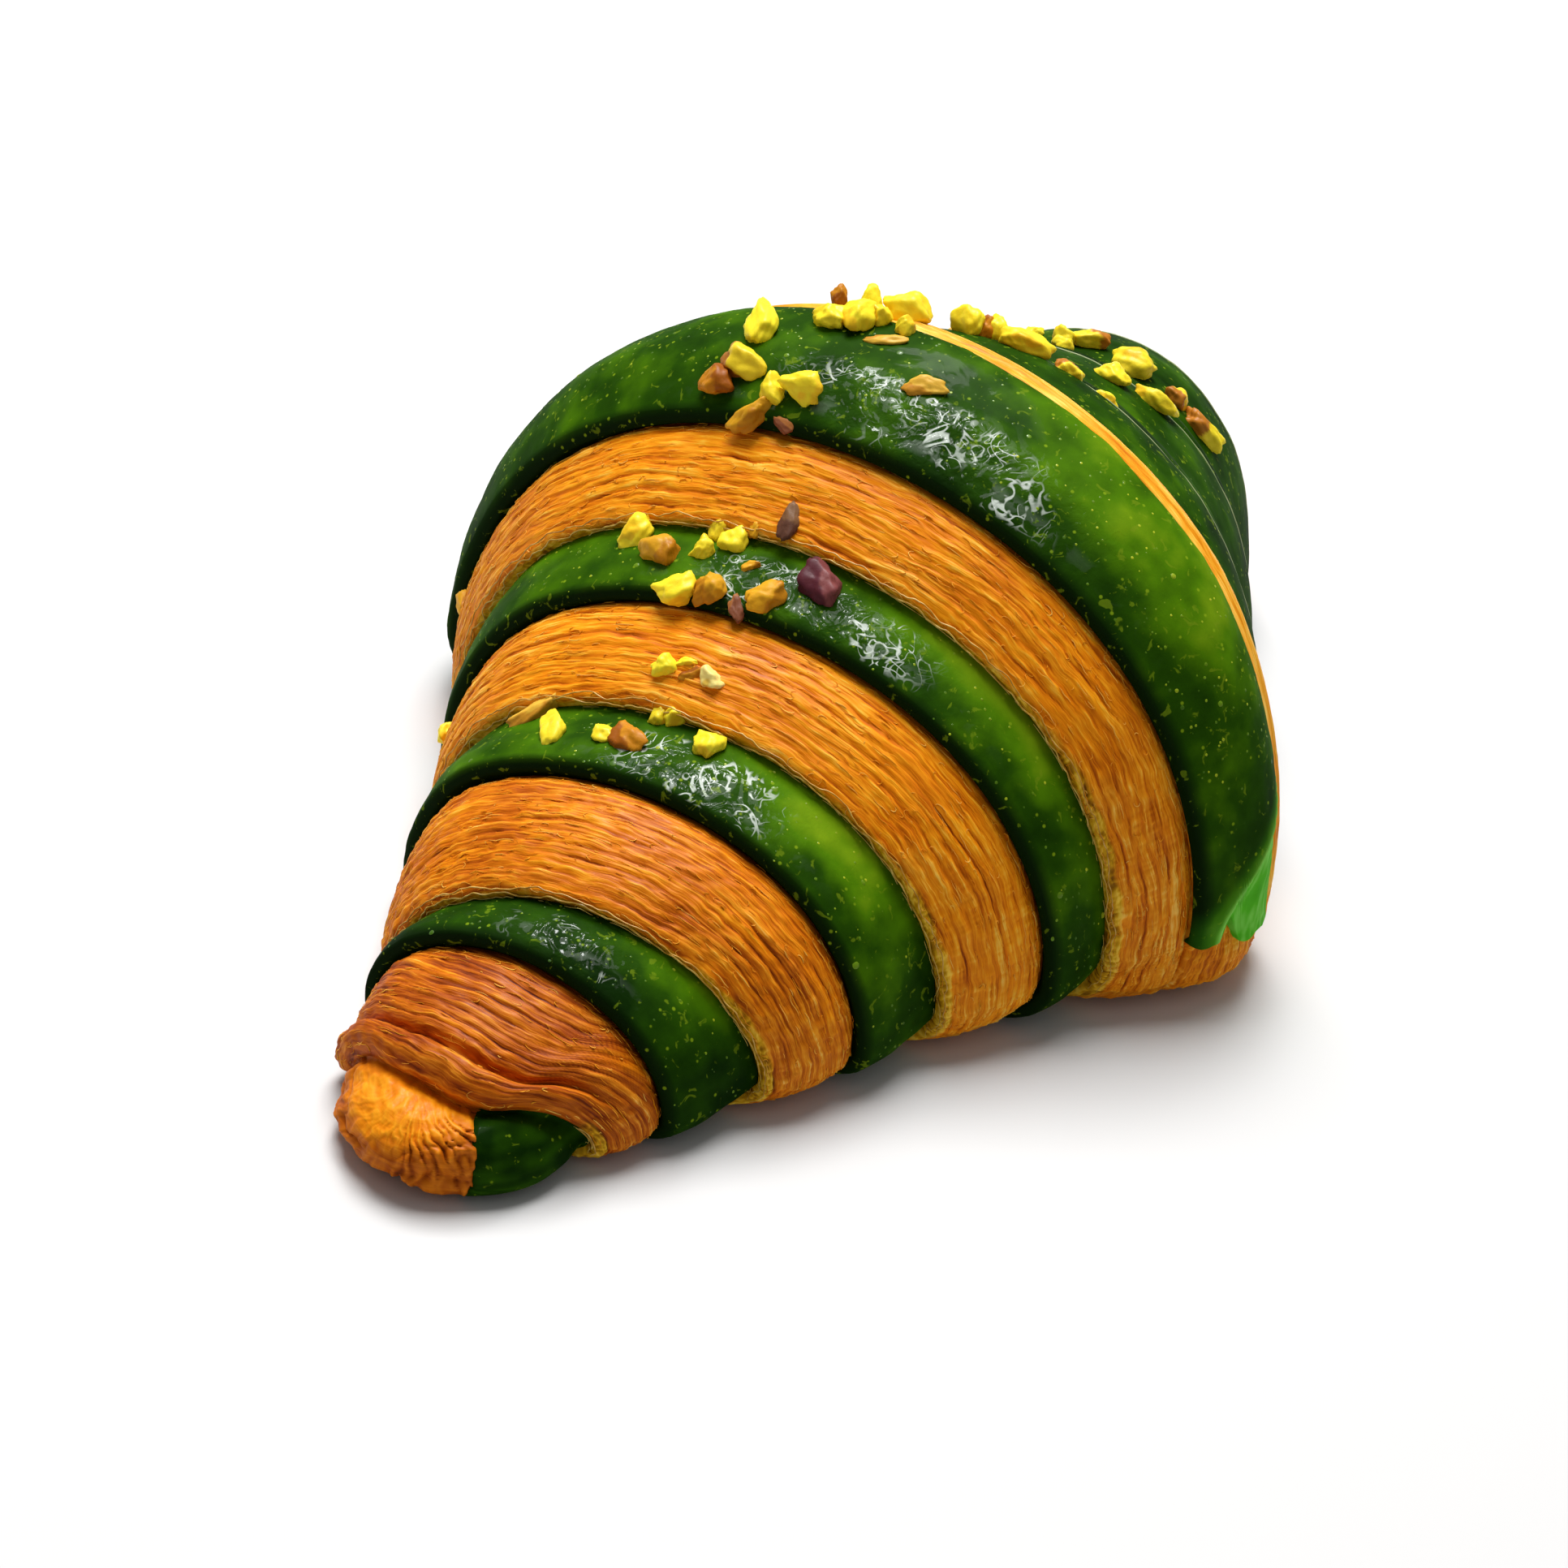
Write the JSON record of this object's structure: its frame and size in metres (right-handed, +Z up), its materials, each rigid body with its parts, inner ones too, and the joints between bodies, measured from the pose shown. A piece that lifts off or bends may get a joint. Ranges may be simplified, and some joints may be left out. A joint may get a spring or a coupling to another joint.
{
  "type": "croissant",
  "caption": "Two-colour croissant: rolled laminated dough in a golden crust with a glossy green skin band on each turn, a curled tip, and chopped nuts baked on top",
  "frame": {"origin": "middle of the base box, on the tray it was baked on", "axes": "+X along the croissant, with the small curled tip at -X; +Z up; -Y is the side on which the middle band's tail ends"},
  "size_m": [0.15, 0.086, 0.0486],
  "materials": {
    "golden_crust": "satin baked laminated dough",
    "green_skin": "glossy glazed green dough skin",
    "yellow_nut": "satin chopped nut",
    "brown_nut": "satin roasted chopped nut with its skin"
  },
  "bodies": {
    "root": {"croissant": "golden_crust"}
  },
  "joints": []
}
